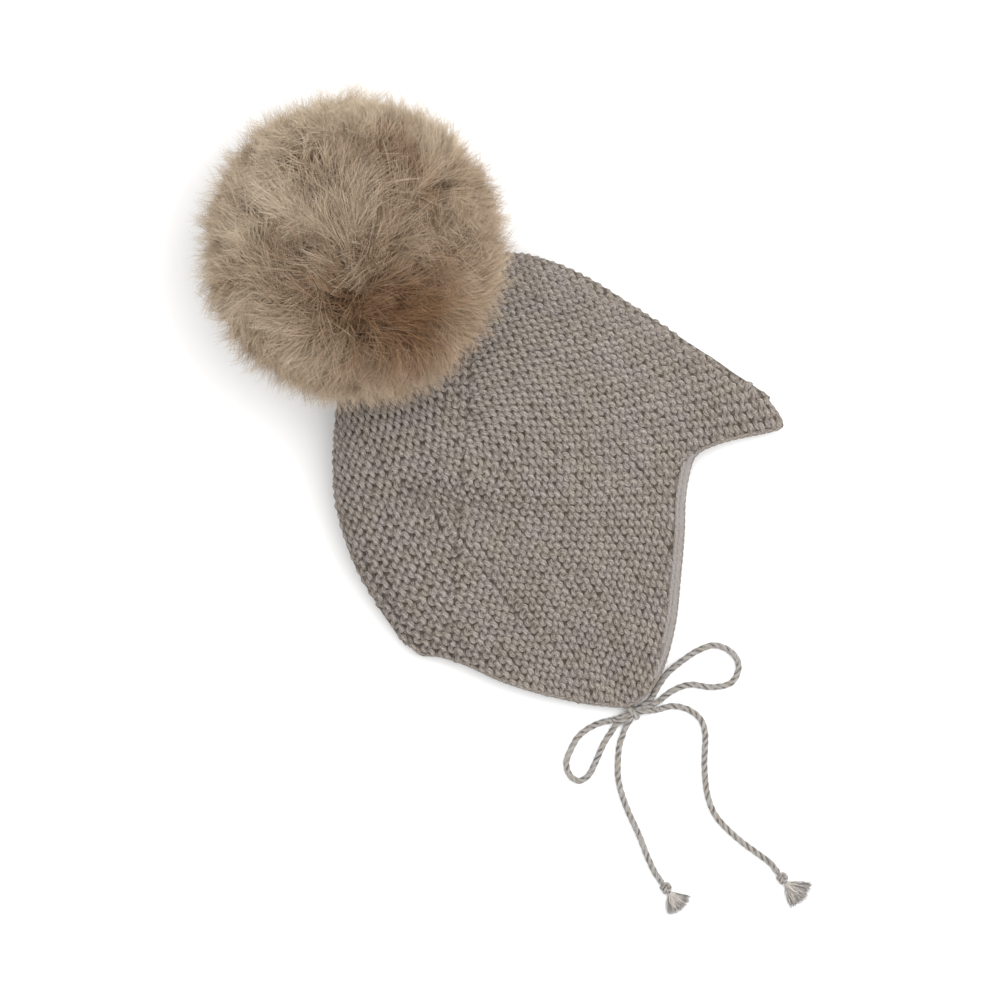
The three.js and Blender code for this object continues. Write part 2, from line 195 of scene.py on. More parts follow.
def yarnPiece(name, strands, finish, sides=6, flat=False, turn=0.0, seed=3):
    # strands: list of (points, radii in millimetres, tone number that also carries painted shade, starting
    # length)
    counts = np.array([len(s[0]) for s in strands])
    points = np.concatenate([s[0] for s in strands])
    widths, tonesAndShades = (np.concatenate([np.broadcast_to(s[n], len(s[0])) for s in strands]) for n in (1, 2))
    starts = np.concatenate([[0], np.cumsum(counts)[:-1]])
    steps = np.linalg.norm(np.diff(points, axis=0, prepend=points[:1]), axis=1)
    steps[starts] = 0
    gone = np.cumsum(steps)
    along = gone - np.repeat(gone[starts], counts) + np.repeat([s[3] for s in strands], counts)
    share = np.arange(len(points)) - np.repeat(starts, counts)
    share = share / np.repeat(np.maximum(counts - 1, 1), counts)
    first = np.setdiff1d(np.arange(len(points) - 1), starts[1:] - 1)
    mesh = newMesh(name + "_lines", points, [], np.stack([first, first + 1], 1).tolist())
    numbers = {"width": widths * mm, "along": along, "share": share, "toneAndShade": tonesAndShades,
               "strand": np.repeat(np.arange(len(strands)), counts)}
    for key, values in numbers.items():
        setNumbers(mesh, key, values)
    lines = newObject(name + "_lines", mesh)
    step = lines.modifiers.new("sweep", "NODES")
    step.node_group = bpy.data.node_groups.get("yarnSweep") or yarnTree()
    sockets = {s.name: s.identifier for s in step.node_group.interface.items_tree if s.in_out == "INPUT"}
    for key, value in (("Sides", sides), ("Flat", flat), ("Turn", turn), ("Seed", seed), ("Finish", finish)):
        step[sockets[key]] = value
    bpy.context.view_layer.update()
    seen = lines.evaluated_get(bpy.context.evaluated_depsgraph_get())
    made = bpy.data.meshes.new_from_object(seen)
    made.name = name
    bpy.data.objects.remove(lines)
    for extra in ("width", "strand"):
        if extra in made.attributes:
            made.attributes.remove(made.attributes[extra])
    return newObject(name, made)


def place(piece, slotName, *nodes):
    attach(piece, "root")
    if nodes:
        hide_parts(*nodes)
    count = sum(len(p.vertices) - 2 for p in piece.data.polygons)
    print(f"{piece.name}: {count} triangles")
    return piece


# finishes

class Finish:
    # a material, with short calls for the nodes that the finishes share
    def __init__(self, name, roughness, specular=0.15, sheen=0.0):
        self.material = bpy.data.materials.new(name)
        self.material.use_nodes = True
        self.tree = self.material.node_tree
        self.shader = self.tree.nodes["Principled BSDF"]
        values = {"Roughness": roughness, "Specular IOR Level": specular}
        if sheen:
            values.update({"Sheen Weight": sheen, "Sheen Roughness": 0.6})
        for key, value in values.items():
            self.shader.inputs[key].default_value = value

    def put(self, socket, value):
        if isinstance(value, bpy.types.NodeSocket):
            self.tree.links.new(value, socket)
        else:
            socket.default_value = (*value, 1.0) if socket.type == "RGBA" else value

    def node(self, kind, inputs=(), **settings):
        made = self.tree.nodes.new("ShaderNode" + kind)
        setAll(made, settings)
        for key, value in dict(inputs).items():
            self.put(made.inputs[key], value)
        return made

    def number(self, name, output="Fac"):
        return self.node("Attribute", attribute_name=name).outputs[output]

    def place(self):
        return self.node("TexCoord").outputs["Object"]

    def math(self, operation, a, b=0.0):
        return self.node("Math", {0: a, 1: b}, operation=operation).outputs[0]

    def times(self, a, b):
        return self.math("MULTIPLY", a, b)

    def plus(self, a, b):
        return self.math("ADD", a, b)

    def noise(self, where, scale, detail=2.0, roughness=0.6):
        inputs = {"Vector": where, "Scale": scale, "Detail": detail, "Roughness": roughness}
        return self.node("TexNoise", inputs).outputs["Fac"]

    def span(self, value, low, high, toLow=0.0, toHigh=1.0):
        inputs = {"Value": value, "From Min": low, "From Max": high, "To Min": toLow, "To Max": toHigh}
        return self.node("MapRange", inputs).outputs["Result"]

    def mix(self, share, a, b, blend="MIX"):
        made = self.node("Mix", data_type="RGBA", blend_type=blend)
        for socket, given in zip([s for s in made.inputs if s.enabled], (share, a, b)):
            self.put(socket, given)
        return next(s for s in made.outputs if s.enabled)

    def join(self, x, y, z):
        return self.node("CombineXYZ", {0: x, 1: y, 2: z}).outputs[0]

    def tinted(self, tone, *shades):
        # the tone times one number, or times one for each of red, green and blue
        return self.mix(1.0, tone, self.join(*(shades * 3)[:3]), "MULTIPLY")

    def done(self, tone, height=None, distance=0.001):
        self.put(self.shader.inputs["Base Color"], tone)
        if height is not None:
            bump = self.node("Bump", {"Strength": 1.0, "Distance": distance, "Height": height})
            self.put(self.shader.inputs["Normal"], bump.outputs["Normal"])
        return self.material


woolLook = {
    "lavender": (0.309, 0.274, 0.251),    # the two heathered tones of the yarn
    "beige": (0.307, 0.269, 0.233),
    "grooveShade": (0.105, 0.086, 0.070),        # painted shade down in the grooves of the ply
    "speckleDark": 0.66, "speckleBright": 1.30,
    "patch": 85.0,                        # of the heather patches, per metre
    "plies": 4.0, "turns": 1.6,           # ply count and twist in radians for each millimetre
    "groove": 0.46, "plyBump": 0.20, "fibreBump": 0.34,
    "toneAndShadeSpan": (0.25, 1.16), "warm": (0.14, -0.06, -0.24),    # brightness from the tone number, which holds random tone and painted shade, warmer where it is low
    "fibreStretch": (0.75, 0.25), "fibre": (3.0, 3.0, 0.7),
    "grain": 1700.0, "grainDepth": 0.32,  # fine fibres, darker and paler
}
frayLook = {
    **woolLook, "lavender": (0.64, 0.60, 0.57), "beige": (0.63, 0.585, 0.54), "grooveShade": (0.58, 0.53, 0.49),
    "patch": 200.0, "speckleDark": 0.88, "speckleBright": 1.10, "toneAndShadeSpan": (0.94, 1.08), "grainDepth": 0.10,
}
bandLook = {
    **woolLook, "lavender": (0.330, 0.302, 0.292), "beige": (0.321, 0.292, 0.269),
    "grooveShade": (0.28, 0.257, 0.243), "speckleDark": 0.86, "speckleBright": 1.10, "toneAndShadeSpan": (0.90, 1.02),
    "grainDepth": 0.12,
}
cordLook = {
    "lavender": (0.320, 0.303, 0.292), "beige": (0.307, 0.284, 0.253), "grooveShade": (0.050, 0.038, 0.030),
    "fleck": (0.15, 0.115, 0.088), "patch": 160.0, "speckleDark": 0.74, "speckleBright": 1.24,
    "fibre": (1.6, 3.0, 0.7), "fleckNoise": (0.85, 1.0, 0.5), "fleckShare": 0.55,
    "breaks": (330.0, 1.0, 0.5), "fibreBump": 0.18, "grain": 3000.0, "grainBump": 0.12,
}


def woolMaterial(name, look):
    m = Finish(name, 0.95, 0.06, 0.06)
    where, along, toneAndShade = m.place(), m.number("along"), m.number("toneAndShade")
    patch = m.span(m.noise(where, look["patch"], 2.5), 0.40, 0.60)
    tone = m.mix(patch, look["lavender"], look["beige"])
    ring = m.node("SeparateXYZ", {0: m.number("ring", "Vector")}).outputs
    angle = m.math("ARCTAN2", ring[1], ring[0])
    wound = m.plus(m.times(angle, look["plies"]), m.times(along, look["turns"]))
    ply = m.span(m.math("SINE", wound), -1.0, 1.0)
    # painted shade: the groove colour is mixed in where the plies meet
    tone = m.mix(m.span(ply, 0.0, 0.5, look["groove"], 0.0), tone, look["grooveShade"])
    lengthwise, across = look["fibreStretch"]
    fibre = m.noise(m.join(m.times(along, lengthwise), m.times(wound, across), toneAndShade), *look["fibre"])
    grain = m.noise(where, look["grain"])
    speck = m.span(fibre, 0.3, 0.7, look["speckleDark"], look["speckleBright"])
    fine = m.span(grain, 0.33, 0.67, 1 - look["grainDepth"], 1 + look["grainDepth"])
    tone = m.tinted(tone, m.times(speck, fine))
    low, high = look["toneAndShadeSpan"]
    # the tone number sets the brightness: random tone together with the stitches' painted shade
    tone = m.tinted(tone, *(m.span(toneAndShade, 0.0, 1.0, low * (1 + w * (1 - low)), high) for w in look["warm"]))
    height = m.plus(m.times(ply, look["plyBump"]), m.times(m.plus(grain, fibre), look["fibreBump"]))
    return m.done(tone, height)


def cordMaterial(name, look):
    # the ties' yarn: pale, with dark flecks that follow the twist, and painted shade in the creases between
    # its plies
    m = Finish(name, 0.92, sheen=0.25)
    where, lay = m.place(), m.number("lay", "Vector")
    patch = m.span(m.noise(where, look["patch"]), 0.42, 0.58)
    tone = m.mix(patch, look["lavender"], look["beige"])
    fleck = m.span(m.noise(lay, *look["fleckNoise"]), 0.55, 0.65)
    tone = m.mix(m.times(fleck, look["fleckShare"]), tone, look["fleck"])
    broken = m.span(m.noise(where, *look["breaks"]), 0.42, 0.56, 0.18, 1.0)
    # painted shade where the plies meet, broken up by noise
    tone = m.mix(m.times(m.span(m.number("crease"), 0.14, 0.85), broken), tone, look["grooveShade"])
    fibre = m.noise(lay, *look["fibre"])
    tone = m.tinted(tone, m.span(fibre, 0.3, 0.7, look["speckleDark"], look["speckleBright"]))
    grain = m.noise(where, look["grain"])
    return m.done(tone, m.plus(m.times(fibre, look["fibreBump"]), m.times(grain, look["grainBump"])))


cordFinish = cordMaterial("tie_wool", cordLook)
frayFinish = woolMaterial("frayed_wool", frayLook)


# chin ties: two loops and two tails of a three-ply cord, lying on the floor

tie = {"radius": 1.4, "plies": 3, "pitch": 11.0, "lobe": 0.42, "lobeRadius": 0.98, "sides": 18, "step": 0.45,
       "cap": 0.25, "layAlong": 0.35, "layAround": 1.2, "layApart": 7.7, "startTurn": 1.3}
routes = {
    "bow_loop_right": [
        (71.9, -130.2), (74.6, -125.6), (78.3, -120.3), (85.1, -114.6), (92.6, -109.8), (99.2, -107.8),
        (105.8, -110.2), (109.6, -115.1), (109.3, -120.3), (106.3, -124.5), (98.3, -126.3), (88.2, -125.2),
        (81.2, -127.6), (74.8, -132.2)],
    "bow_loop_left": [
        (53.9, -140.8), (47.3, -142.6), (39.8, -147.4), (36.1, -153.3), (33.9, -159.5), (35.4, -165.0),
        (39.4, -167.6), (43.6, -165.2), (46.6, -159.7), (50.4, -151.1), (54.8, -144.3)],
    "tie_tail_left": [
        (59.2, -146.3), (57.4, -151.6), (56.7, -158.2), (56.7, -165.7), (58.2, -172.9), (61.2, -181.1),
        (66.2, -192.1), (69.6, -200.9), (73.2, -208.4), (75.9, -212.2)],
    "tie_tail_right": [
        (75.0, -136.0), (80.7, -134.6), (88.2, -136.4), (93.3, -140.8), (95.1, -146.7), (95.0, -153.8),
        (94.8, -161.3), (96.3, -174.5), (100.0, -183.3), (110.2, -193.6), (118.1, -199.5), (123.9, -203.9),
        (127.1, -208.0)],
}


def cordMesh(name, paths, look):
    # one closed twisted tube for each path, three rounded plies in its section
    points, faces, lay, crease = [], [], [], []
    sides, sector = look["sides"], 2 * math.pi / look["plies"]
    lobe, lobeRadius = look["lobe"], look["lobeRadius"]
    angle = np.arange(sides) / sides * 2 * math.pi
    for index, path in enumerate(paths):
        along, side, up = carriedFrames(path)
        gone, count, start = lengthSoFar(path), len(path), len(points)
        turn = gone / look["pitch"] * 2 * math.pi + index * look["startTurn"]
        own = angle[None, :] - turn[:, None]
        inPly = (own + sector / 2) % sector - sector / 2
        reach = lobe * np.cos(inPly) + np.sqrt(lobeRadius ** 2 - (lobe * np.sin(inPly)) ** 2)
        reach = reach * look["radius"] / (lobe + lobeRadius)
        around = np.cos(angle)[None, :, None] * side[:, None] + np.sin(angle)[None, :, None] * up[:, None]
        points.extend((path[:, None] + reach[..., None] * around).reshape(-1, 3))
        layAlong, apart = gone * look["layAlong"], look["layApart"] * index
        lay.extend(np.stack([np.repeat(layAlong[:, None], sides, 1), own * look["layAround"],
                             np.full((count, sides), apart)], -1).reshape(-1, 3))
        # crease: 1 where two plies meet, where the material paints shade
        crease.extend((np.abs(inPly) / (sector / 2)).reshape(-1) ** 2)
        faces.extend(gridFaces(count, sides, start, around=True).tolist())
        for row, way in ((0, -1), (count - 1, 1)):
            tip = len(points)
            points.append(path[row] + along[row] * look["cap"] * way)
            lay.append((layAlong[row], 0.0, apart))
            crease.append(0.5)
            for j in range(sides):
                a, b = start + row * sides + j, start + row * sides + (j + 1) % sides
                faces.append((b, a, tip) if way < 0 else (a, b, tip))
    mesh = newMesh(name, points, faces)
    mesh.shade_smooth()
    setNumbers(mesh, "lay", lay)
    setNumbers(mesh, "crease", crease)
    mesh.materials.append(cordFinish)
    return newObject(name, mesh)


onFloor = tie["radius"] + 0.02
cordPaths = {name: smoothPath([(x, y, onFloor) for x, y in route], tie["step"])
             for name, route in routes.items()}
cordPieces = {name: cordMesh(name + "_cord", [path], tie) for name, path in cordPaths.items()}
for name, piece in cordPieces.items():
    place(piece, "tie", name)


# bow knot: an arm for each strand, one wrap over them and a stem to the flap tips

knot = {
    "centre": (63.6, -137.5, 3.3), "gap": 0.35, "radius": 1.32, "step": 0.5,
    "lead": 1.6, "leadRise": 0.1, "riseShare": 0.35, "armHeight": 2.6, "armStack": 0.9,
    "stem": ((61.2, -135.8, 3.6), (59.6, -134.6, 3.7)),
    "wrap": {"centre": (63.2, -137.2, 3.2), "heading": 0.55, "length": 1.3, "width": 2.9, "height": 1.75,
             "turns": 1.2, "steps": 48},
}
upwards = np.array([0, 0, 1])


def headings(angle):
    # unit vectors ahead and to the left on the floor
    return np.array([[math.cos(angle), math.sin(angle), 0], [-math.sin(angle), math.cos(angle), 0]])


def wrapPath(wrap):
    # a turn of cord round the bundle, leaning along the heading as it goes
    turns = wrap["turns"]
    angle = np.linspace(-0.5 * math.pi, (2 * turns - 0.5) * math.pi, wrap["steps"] + 1)[:, None]
    ahead, across = headings(wrap["heading"])
    drift = wrap["length"] * (angle / math.pi + 0.5 - turns) / turns
    return (np.array(wrap["centre"]) + across * wrap["width"] * np.cos(angle)
            + upwards * wrap["height"] * np.sin(angle) + ahead * drift)


knotCentre = np.array(knot["centre"])
arms = []
for name, route in routes.items():
    outlets = [(route[0], route[1])] if "tail" in name else [(route[0], route[1]), (route[-1], route[-2])]
    for end, inner in outlets:
        end, inner = np.array([*end, onFloor]), np.array([*inner, onFloor])
        away = unit(end - inner)
        start = end + away * knot["gap"]
        lead = start + away * knot["lead"] + upwards * knot["leadRise"]
        rise = knotCentre + (start - knotCentre) * knot["riseShare"]
        rise[2] = knot["armHeight"] + knot["armStack"] * len(arms) / 6
        arms.append(smoothPath([start, lead, rise, knotCentre], knot["step"]))
stem = smoothPath([knotCentre, *knot["stem"]], knot["step"])
strands = [*arms, stem, wrapPath(knot["wrap"])]
knotMesh = cordMesh("bow_knot_wraps", strands, {**tie, "radius": knot["radius"]})
knotPiece = place(knotMesh, "tie", "bow_knot")


# end knots and frayed ends

ends = {
    "left": {"route": "tie_tail_left", "fan": -0.92, "spread": 1.45, "fray": 9.2},
    "right": {"route": "tie_tail_right", "fan": -0.70, "spread": 1.35, "fray": 11.0},
}
endKnot = {
    "length": 5.6, "width": 4.8, "sink": 0.8, "steps": 90, "step": 0.5,
    "long": 1.28, "round": 1.35, "swing": 0.62, "wide": 0.85, "high": 0.72,    # the trefoil's form
    "cord": {**tie, "radius": 1.08, "pitch": 8.0, "sides": 14},
}
tassel = {
    "strands": {"count": 70, "radius": 0.44, "spread": 1.0, "length": 1.0, "points": 9, "low": 0.45},
    "fibres": {"count": 260, "radius": 0.085, "spread": 1.12, "length": 1.05, "points": 7, "low": 0.1},
    "sides": 5, "taper": 0.55, "seed": 40,
}


def frayStrands(end, apex, across, rng):
    strands = []
    for kind in (tassel["strands"], tassel["fibres"]):
        f = np.linspace(0, 1, kind["points"])[:, None]
        arch = np.sin(math.pi * f)
        for _ in range(kind["count"]):
            direction = end["fan"] + rng.uniform(-0.5, 0.5) * end["spread"] * kind["spread"]
            length = end["fray"] * rng.uniform(0.72, 1.0) * kind["length"]
            seat = apex + across * rng.uniform(-0.9, 0.9) + np.array([0, 0, rng.uniform(-0.7, 1.0)])
            bend = rng.uniform(-0.9, 0.9)
            wave = bend * arch + rng.uniform(0.1, 0.35) * np.sin(f * rng.uniform(6, 12))
            line = seat + length * headings(direction)[0] * f + across * wave
            height = seat[2] * (1 - f) + rng.uniform(0.5, 2.6) * f + 0.5 * arch
            line[:, 2] = np.maximum(height[:, 0], kind["low"])
            widths = kind["radius"] * (1.0 - tassel["taper"] * f[:, 0]) * rng.uniform(0.8, 1.2)
            strands.append((line, widths, rng.uniform(0, 1), rng.uniform(0, 20)))
    return strands


for index, (side, end) in enumerate(ends.items()):
    before, last = np.array(routes[end["route"]][-2:])
    ahead, across = headings(math.atan2(*(last - before)[::-1]))
    reach = endKnot["length"] / 2 + knot["gap"]
    centre = np.array([*last, endKnot["width"] / 2]) + ahead * reach
    turn = np.linspace(0, 2 * math.pi, endKnot["steps"])[:, None]
    size = endKnot["round"] + endKnot["swing"] * np.cos(3 * turn)
    trefoil = (centre + endKnot["long"] * np.sin(3 * turn) * ahead
               + endKnot["wide"] * size * np.cos(2 * turn) * across
               + endKnot["high"] * size * np.sin(2 * turn) * upwards)
    low = centre - upwards * endKnot["sink"]
    through = smoothPath([low - ahead * (reach - 0.1), centre, low + ahead * (reach - 0.1)], endKnot["step"])
    wraps = place(cordMesh(f"end_knot_{side}_wraps", [trefoil, through], endKnot["cord"]),
                  "tie", f"end_knot_{side}")
    rng = np.random.default_rng(tassel["seed"] + index)
    strands = frayStrands(end, low + ahead * (reach - 0.2), across, rng)
    frayed = place(yarnPiece(f"tassel_{side}_strands", strands, frayFinish, sides=tassel["sides"]),
                   "fray", f"tassel_{side}")

print("ties ready:", {name: round(float(lengthSoFar(path)[-1]), 1) for name, path in cordPaths.items()})


# the hood's form: sections from the peak tip to the nape, as the solid has them

hood = {"wall": 3.0, "lipReach": 0.7, "lowerTurn": 0.45, "upperTurn": 0.42}
sectionNames = ("seamX", "seamY", "edgeX", "edgeY", "seamZ", "crest", "crestAt", "lip")
sections = np.array([
    (123.4, 1.1, 127.4, -5.1, 4.2, 6.8, 0.50, 6.6),
    (115.5, 6.4, 129.6, -11.7, 4.3, 7.4, 0.50, 6.8),
    (108.0, 11.2, 121.2, -14.7, 4.8, 8.6, 0.50, 7.4),
    (99.2, 17.4, 110.2, -16.9, 5.6, 10.6, 0.46, 8.4),
    (88.2, 24.4, 99.2, -20.0, 7.0, 13.6, 0.44, 10.0),
    (75.0, 33.2, 91.3, -24.4, 8.8, 17.5, 0.42, 12.0),
    (59.6, 43.3, 88.2, -32.8, 11.0, 22.0, 0.40, 14.0),
    (42.0, 53.9, 86.5, -43.8, 13.5, 27.5, 0.38, 15.5),
    (22.2, 62.7, 86.0, -59.2, 16.5, 33.0, 0.36, 16.0),
    (2.4, 64.9, 84.3, -79.0, 19.5, 38.5, 0.34, 15.5),
    (-19.6, 58.7, 82.1, -98.8, 22.0, 43.0, 0.32, 14.0),
    (-39.4, 47.7, 76.8, -118.4, 24.0, 46.0, 0.30, 11.5),
    (-55.2, 29.3, 68.6, -131.0, 25.0, 47.0, 0.29, 8.6),
    (-65.3, 7.3, 59.2, -135.3, 24.5, 45.5, 0.28, 7.0),
    (-68.4, -16.5, 43.6, -134.0, 22.5, 41.5, 0.28, 8.0),
    (-68.0, -43.8, 24.4, -130.0, 19.0, 35.0, 0.28, 9.5),
    (-60.9, -69.3, 5.9, -124.3, 14.5, 27.0, 0.32, 10.0),
    (-49.9, -89.5, -10.8, -116.8, 10.0, 18.5, 0.38, 9.4),
    (-42.9, -100.1, -21.8, -113.3, 7.2, 12.5, 0.44, 8.0),
    (-37.2, -108.0, -29.7, -112.9, 5.0, 8.2, 0.50, 7.0),
])
dents = (
    {"x": -12.5, "y": -46.0, "length": 37, "width": 7.5, "turn": -0.21, "depth": 8.2},
    {"x": -12.5, "y": -22.5, "length": 6, "width": 3.5, "turn": 0.9, "depth": -1.5},
    {"x": -10.5, "y": -8.0, "length": 19, "width": 5, "turn": 1.5, "depth": 1.4},
)


def column(name, t):
    # a value of the sections at t, from 0 at the peak to 1 at the nape, smooth in between
    values = sections[:, sectionNames.index(name)]
    spot = np.asarray(t, float) * (len(values) - 1)
    row = np.minimum(np.floor(spot), len(values) - 2).astype(int)
    f = spot - row
    a, b, c, d = (values[np.clip(row + k, 0, len(values) - 1)] for k in (-1, 0, 1, 2))
    return b + 0.5 * f * (c - a + f * (2 * a - 5 * b + 4 * c - d + f * (3 * (b - c) + d - a)))


def planPoint(kind, t):
    before, after = np.maximum(t - 1e-3, 0), np.minimum(t + 1e-3, 1)
    alongX, alongY = (column(kind + way, after) - column(kind + way, before) for way in "XY")
    inset = (hood["wall"] / 2 if kind == "seam" else -hood["lipReach"]) / np.hypot(alongX, alongY)
    return column(kind + "X", t) - inset * alongY, column(kind + "Y", t) + inset * alongX


def dentDepth(x, y):
    depth = 0
    for dent in dents:
        dx, dy = x - dent["x"], y - dent["y"]
        u = (dx * math.cos(dent["turn"]) + dy * math.sin(dent["turn"])) / dent["length"]
        v = (dy * math.cos(dent["turn"]) - dx * math.sin(dent["turn"])) / dent["width"]
        depth = depth + dent["depth"] * np.exp(-u * u - v * v)
    return depth


def middle(t, q):
    # a point of the middle of the wall: q from -1, lower edge, round the fold at 0, to 1, upper edge
    t, q = np.broadcast_arrays(np.asarray(t, float), np.asarray(q, float))
    seamX, seamY = planPoint("seam", t)
    edgeX, edgeY = planPoint("edge", t)
    seamZ, crestAt, lower = column("seamZ", t), column("crestAt", t), q < 0
    lowReach = np.minimum(crestAt, 0.8 * seamZ / np.hypot(edgeX - seamX, edgeY - seamY) + 0.06)
    reach = np.where(lower, lowReach, crestAt)
    turn = np.where(lower, hood["lowerTurn"], hood["upperTurn"])
    far = np.where(lower, hood["wall"] / 2, column("crest", t))
    end = np.where(lower, hood["wall"] / 2, column("lip", t))
    m = np.abs(q)
    angle = np.minimum(m / turn, 1) * math.pi / 2
    fall = np.clip((m - turn) / (1 - turn), 0, 1)
    inTurn = m < turn
    s = np.where(inTurn, reach * (1 - np.cos(angle)), reach + (1 - reach) * fall)
    z = np.where(inTurn, seamZ + (far - seamZ) * np.sin(angle),
                 end + (far - end) * (0.5 + 0.5 * np.cos(math.pi * fall)))
    x, y = seamX + (edgeX - seamX) * s, seamY + (edgeY - seamY) * s
    z = z - np.where(lower, 0, dentDepth(x, y) * np.sin(angle))
    return np.stack([x, y, z], -1)


def outwards(t, q):
    along = middle(np.minimum(t + 2e-3, 1), q) - middle(np.maximum(t - 2e-3, 0), q)
    across = middle(t, np.minimum(q + 2e-3, 1)) - middle(t, np.maximum(q - 2e-3, -1))
    return unit(np.cross(along, across))


class HoodSide:
    # one side of the hood as a fine grid, with the flat pattern that it was knitted to
    def __init__(self, line, flatFold=None):
        count = 401
        self.t = np.linspace(0, 1, count)
        t, q = np.meshgrid(self.t, line, indexing="ij")
        point = middle(t, q)
        normal = outwards(np.clip(t, 0.002, 0.998), np.clip(q, -0.998, 0.998))
        outer = point + normal * hood["wall"] / 2
        steps = np.linalg.norm(np.diff(outer, axis=1), axis=2)
        past = np.concatenate([np.zeros((count, 1)), np.cumsum(steps, 1)], 1)
        past = past - past[:, [int(np.argmin(np.abs(line)))]]
        across = unit(np.stack(planPoint("edge", self.t), -1) - np.stack(planPoint("seam", self.t), -1))
        if flatFold is None:
            ref = int(np.argmin(np.abs(line - hood["upperTurn"])))
            flatFold = outer[:, ref, :2] - across * past[:, [ref]]
        self.fold = flatFold
        self.flat = flat = flatFold[:, None] + across[:, None] * past[..., None]
        rim = np.concatenate([flat[0, ::-4], flat[1:-1, -1], flat[-1, ::4]])
        self.rimLine = np.concatenate([flat[0], flat[1:-1, -1], flat[-1, ::-1]])
        gap = np.array([np.min(np.linalg.norm(row[:, None] - rim, axis=2), axis=1) for row in flat])
        self.grids = {"point": point, "normal": normal, "flat": flat, "past": past, "gap": gap}
        self.slopes = {name: np.gradient(grid, axis=(0, 1)) for name, grid in self.grids.items()}
        self.trees = {}

    def find(self, key, values, allowed, targets, near):
        # the spots on the grid where the two values reach the targets, and which of them lie near enough
        if key not in self.trees:
            rows, cols = np.nonzero(allowed)
            self.trees[key] = (treeOf(values[rows, cols]), rows, cols, *np.gradient(values, axis=(0, 1)))
        tree, rows, cols, slopeI, slopeJ = self.trees[key]
        nearest = nearestIn(tree, targets)
        i, j = rows[nearest], cols[nearest]
        di, dj = slopeI[i, j], slopeJ[i, j]
        off = targets - values[i, j]
        det = di[:, 0] * dj[:, 1] - di[:, 1] * dj[:, 0]
        det = np.where(np.abs(det) < 1e-12, 1e-12, det)
        a = (off[:, 0] * dj[:, 1] - off[:, 1] * dj[:, 0]) / det
        b = (di[:, 0] * off[:, 1] - di[:, 1] * off[:, 0]) / det
        cell = np.sqrt(np.sum(di * di, 1) + np.sum(dj * dj, 1))
        good = np.linalg.norm(off, axis=1) < near * cell
        return (i, j, np.clip(a, -25, 25), np.clip(b, -25, 25)), good

    def at(self, name, spots):
        i, j, a, b = spots
        grid, (slopeI, slopeJ) = self.grids[name], self.slopes[name]
        if grid.ndim == 3:
            a, b = a[:, None], b[:, None]
        return grid[i, j] + slopeI[i, j] * a + slopeJ[i, j] * b


upperSide = HoodSide(np.linspace(-0.35, 1, 201))
lowerSide = HoodSide(np.linspace(0.10, -1, 201), upperSide.fold)
print("hood grids ready")


# the way the stitches run: smooth counts of stitches and of ridges over the flat pattern

rowField = {
    "tipX": -10.8, "tipY": -26.2, "cut": 1.501,      # where the mitre ends, and the way it points
    "stitch": (19.32, -14.45, 7.13, -0.73, 3.33, -1.96, 2.81, -0.36, 1.0, -5.49, 2.38, -5.91, 0.89),
    "ridge": (7.15, 20.34, -8.06, 9.37, -3.25, 3.45, -9.03, 3.79, -1.29, 11.75, 5.92, 6.2, 3.11),
    "overlap": 12,                                   # how near the cut both branches are looked up
}


def stitchCounts(flat, branch):
    x, y = flat[..., 0] / 100, flat[..., 1] / 100
    dx, dy = x - rowField["tipX"] / 100, y - rowField["tipY"] / 100
    r = np.hypot(dx, dy)
    turn = (np.arctan2(dy, dx) - rowField["cut"]) % (2 * math.pi) - math.pi
    own = turn >= 0 if branch > 0 else turn < 0
    turn = np.where(turn * branch < -math.pi / 2, turn + 2 * math.pi * branch, turn)
    terms = (x, y, x * x, x * y, y * y, x ** 3, x * x * y, x * y * y, y ** 3,
             r * np.sin(turn / 2), r * np.cos(turn / 2), r * np.sin(1.5 * turn), r * np.cos(1.5 * turn))
    counts = [sum(c * term for c, term in zip(rowField[name], terms)) for name in ("stitch", "ridge")]
    return np.stack(counts, -1), own


pompom = {"centre": (-61.2, 66.6, 68.0), "parting": (0.03, -0.48, 0.875)}
pompomCentre = np.array(pompom["centre"])

stitch = {
    "yarnRadius": 1.18, "rise": 0.295, "shift": 0,   # rise: half the wave's height in ridge spacings
    "overhang": 0.075, "skew": 0.045,                # how far loops lean over their own legs, and forward
    "jitter": 0.070, "uneven": 0.9,
    "relief": 0.50, "headLift": 0.22, "toneAndShade": 0.76,
    "heightShade": (0.06, 0.16),                             # painted light and shade by height: paler on the heads, and twice in each stitch
    "near": 0.8, "leastRun": 4, "toneShift": 13.7,
    "faceBand": ((0, 0.10, 0.27, 0.34, 0.55, 0.60, 0.675),    # bare width at the face edge, by t
                 (0.0, 0.2, 1.2, 4.2, 4.0, 1.0, 0.2)),
    "faceEnd": 0.675, "neckBand": 0.0, "hidden": 50.0, "pastFold": 2.4,
    "peakFold": 0.8, "peakWidth": 3.5, "peakEnd": (0.46, 0.1),
}
# the valley yarns lie lower, between the ridges, and a lower tone number paints them darker as painted shade
valleyStitch = {
    **stitch, "shift": 0.46, "rise": 0.12, "yarnRadius": 1.12, "relief": 0.0, "headLift": -0.12,
    "toneAndShade": 0.36, "heightShade": (-0.42, 0.0),
}
stitchLayers = (
    # side, form, height of the yarn's middle above the wall's, points for each stitch, seed, sides, pieces
    (upperSide, stitch, 0.38, 12, 11, 7, ("upper_stitches_front", "upper_stitches_back")),
    (upperSide, valleyStitch, -0.20, 7, 13, 5, ("upper_valleys",)),
    (lowerSide, stitch, 0.10, 8, 12, 4, ("lower_stitches",)),
)


def foldLift(t, past):
    # the fold of the peak stands out a little more
    last, fade = stitch["peakEnd"]
    return stitch["peakFold"] * np.exp(-(past / stitch["peakWidth"]) ** 2) * np.clip((last - t) / fade, 0, 1)


